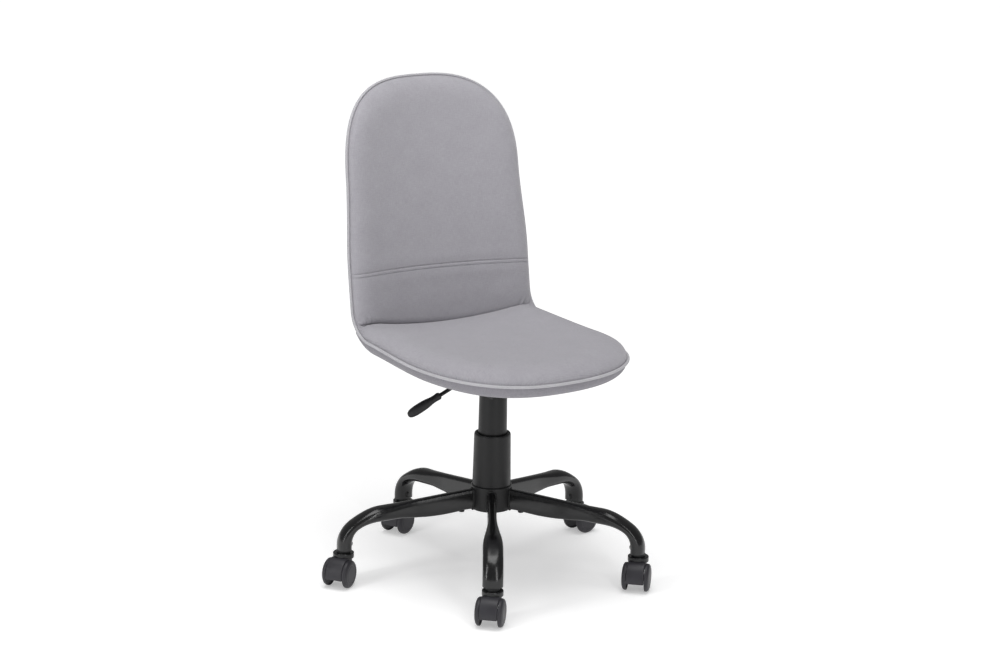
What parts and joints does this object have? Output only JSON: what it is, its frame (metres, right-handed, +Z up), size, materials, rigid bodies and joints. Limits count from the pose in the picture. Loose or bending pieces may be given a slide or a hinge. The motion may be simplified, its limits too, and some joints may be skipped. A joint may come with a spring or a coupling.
{
  "type": "swivel desk chair",
  "caption": "Armless padded swivel desk chair: bent one-piece shell, gas-lift column with release lever, and a tubular star base on twin-wheel castors.",
  "frame": {"origin": "centre of the footprint, on the floor", "axes": "+Z up; the chair faces -Y, its lift lever points to -X, and the column stands on x = 0.0046, y = -0.0132"},
  "size_m": [0.6123, 0.5718, 0.8693],
  "materials": {
    "fabric": "woven polyester upholstery, mid grey, matt",
    "piping_fabric": "fabric-covered cord, light grey, matt",
    "plywood": "bent plywood, unfinished, covered all over",
    "black_steel": "pressed steel, black powder coat",
    "black_enamel": "steel tube, glossy black enamel",
    "black_tube": "drawn steel tube, black satin coat",
    "bright_steel": "ground and hard chromed steel",
    "zinc_steel": "zinc plated steel",
    "black_plastic": "moulded black polypropylene, fine grain",
    "grey_plastic": "moulded grey-black nylon, matt",
    "white_acetal": "natural acetal bush",
    "rubber": "black rubber"
  },
  "bodies": {
    "base": {"stand_tube": "black_tube", "guide_bush": "white_acetal", "lower_column_cover": "black_plastic", "base_hub": "black_steel", "thrust_bearing": "bright_steel", "base_arm_1": "black_enamel", "base_arm_2": "black_enamel", "base_arm_3": "black_enamel", "base_arm_4": "black_enamel", "base_arm_5": "black_enamel", "castor_socket_1": "black_plastic", "castor_socket_2": "black_plastic", "castor_socket_3": "black_plastic", "castor_socket_4": "black_plastic", "castor_socket_5": "black_plastic"},
    "rod": {"piston_rod": "bright_steel", "rod_clip": "bright_steel", "rubber_bumper": "rubber"},
    "seat": {"seat_cushion": "fabric", "back_cushion": "fabric", "shell_board": "plywood", "back_rear_cover": "fabric", "seat_under_cover": "fabric", "edge_piping": "piping_fabric", "seat_plate": "black_steel", "lever_housing": "black_steel", "mechanism_bolt_1": "zinc_steel", "mechanism_bolt_2": "zinc_steel", "mechanism_bolt_3": "zinc_steel", "mechanism_bolt_4": "zinc_steel", "gas_cylinder": "black_tube", "upper_column_cover": "black_plastic"},
    "lever": {"lever_rod": "black_steel", "lever_handle": "black_plastic"},
    "button": {"release_button": "bright_steel"},
    "castor_1": {"castor_hood_1": "grey_plastic", "castor_stem_1": "zinc_steel", "castor_axle_1": "zinc_steel"},
    "wheel_left_1": {"castor_wheel_left_1": "grey_plastic"},
    "wheel_right_1": {"castor_wheel_right_1": "grey_plastic"},
    "castor_2": {"castor_hood_2": "grey_plastic", "castor_stem_2": "zinc_steel", "castor_axle_2": "zinc_steel"},
    "wheel_left_2": {"castor_wheel_left_2": "grey_plastic"},
    "wheel_right_2": {"castor_wheel_right_2": "grey_plastic"},
    "castor_3": {"castor_hood_3": "grey_plastic", "castor_stem_3": "zinc_steel", "castor_axle_3": "zinc_steel"},
    "wheel_left_3": {"castor_wheel_left_3": "grey_plastic"},
    "wheel_right_3": {"castor_wheel_right_3": "grey_plastic"},
    "castor_4": {"castor_hood_4": "grey_plastic", "castor_stem_4": "zinc_steel", "castor_axle_4": "zinc_steel"},
    "wheel_left_4": {"castor_wheel_left_4": "grey_plastic"},
    "wheel_right_4": {"castor_wheel_right_4": "grey_plastic"},
    "castor_5": {"castor_hood_5": "grey_plastic", "castor_stem_5": "zinc_steel", "castor_axle_5": "zinc_steel"},
    "wheel_left_5": {"castor_wheel_left_5": "grey_plastic"},
    "wheel_right_5": {"castor_wheel_right_5": "grey_plastic"}
  },
  "joints": [
    {"name": "column_swivel", "type": "hinge", "parent": "base", "child": "rod", "pos_m": [0.0046, -0.0132, 0.11], "axis": [0, 0, 1], "continuous": true},
    {"name": "seat_lift", "type": "slide", "parent": "rod", "child": "seat", "axis": [0, 0, 1], "range_m": [-0.06, 0.02]},
    {"name": "lever_tip", "type": "hinge", "parent": "seat", "child": "lever", "pos_m": [-0.0342, -0.0132, 0.3688], "axis": [0, 1, 0], "range_deg": [0, 4], "stiffness_Nm_per_rad": 2, "springref_deg": -2.86},
    {"name": "button_press", "type": "slide", "parent": "seat", "child": "button", "axis": [0, 0, -1], "range_m": [0, 0.0028]},
    {"name": "castor_swivel_1", "type": "hinge", "parent": "base", "child": "castor_1", "pos_m": [-0.14866, -0.24214, 0.05], "axis": [0, 0, 1], "continuous": true},
    {"name": "wheel_left_spin_1", "type": "hinge", "parent": "castor_1", "child": "wheel_left_1", "pos_m": [-0.16053, -0.2536, 0.025], "axis": [0.6947, -0.7193, 0], "continuous": true},
    {"name": "wheel_right_spin_1", "type": "hinge", "parent": "castor_1", "child": "wheel_right_1", "pos_m": [-0.16053, -0.2536, 0.025], "axis": [0.6947, -0.7193, 0], "continuous": true},
    {"name": "castor_swivel_2", "type": "hinge", "parent": "base", "child": "castor_2", "pos_m": [0.17497, -0.2297, 0.05], "axis": [0, 0, 1], "continuous": true},
    {"name": "wheel_left_spin_2", "type": "hinge", "parent": "castor_2", "child": "wheel_left_2", "pos_m": [0.1631, -0.24116, 0.025], "axis": [0.6947, -0.7193, 0], "continuous": true},
    {"name": "wheel_right_spin_2", "type": "hinge", "parent": "castor_2", "child": "wheel_right_2", "pos_m": [0.1631, -0.24116, 0.025], "axis": [0.6947, -0.7193, 0], "continuous": true},
    {"name": "castor_swivel_3", "type": "hinge", "parent": "base", "child": "castor_3", "pos_m": [0.26315, 0.08193, 0.05], "axis": [0, 0, 1], "continuous": true},
    {"name": "wheel_left_spin_3", "type": "hinge", "parent": "castor_3", "child": "wheel_left_3", "pos_m": [0.27959, 0.08337, 0.025], "axis": [-0.0872, 0.9962, 0], "continuous": true},
    {"name": "wheel_right_spin_3", "type": "hinge", "parent": "castor_3", "child": "wheel_right_3", "pos_m": [0.27959, 0.08337, 0.025], "axis": [-0.0872, 0.9962, 0], "continuous": true},
    {"name": "castor_swivel_4", "type": "hinge", "parent": "base", "child": "castor_4", "pos_m": [-0.00598, 0.2621, 0.05], "axis": [0, 0, 1], "continuous": true},
    {"name": "wheel_left_spin_4", "type": "hinge", "parent": "castor_4", "child": "wheel_left_4", "pos_m": [-0.02138, 0.25618, 0.025], "axis": [0.3584, -0.9336, 0], "continuous": true},
    {"name": "wheel_right_spin_4", "type": "hinge", "parent": "castor_4", "child": "wheel_right_4", "pos_m": [-0.02138, 0.25618, 0.025], "axis": [0.3584, -0.9336, 0], "continuous": true},
    {"name": "castor_swivel_5", "type": "hinge", "parent": "base", "child": "castor_5", "pos_m": [-0.26049, 0.06181, 0.05], "axis": [0, 0, 1], "continuous": true},
    {"name": "wheel_left_spin_5", "type": "hinge", "parent": "castor_5", "child": "wheel_left_5", "pos_m": [-0.27441, 0.05295, 0.025], "axis": [0.5373, -0.8434, 0], "continuous": true},
    {"name": "wheel_right_spin_5", "type": "hinge", "parent": "castor_5", "child": "wheel_right_5", "pos_m": [-0.27441, 0.05295, 0.025], "axis": [0.5373, -0.8434, 0], "continuous": true}
  ],
  "couplings": [
    {"joint": "button_press", "follows": "lever_tip", "m_per_rad": 0.0388}
  ]
}
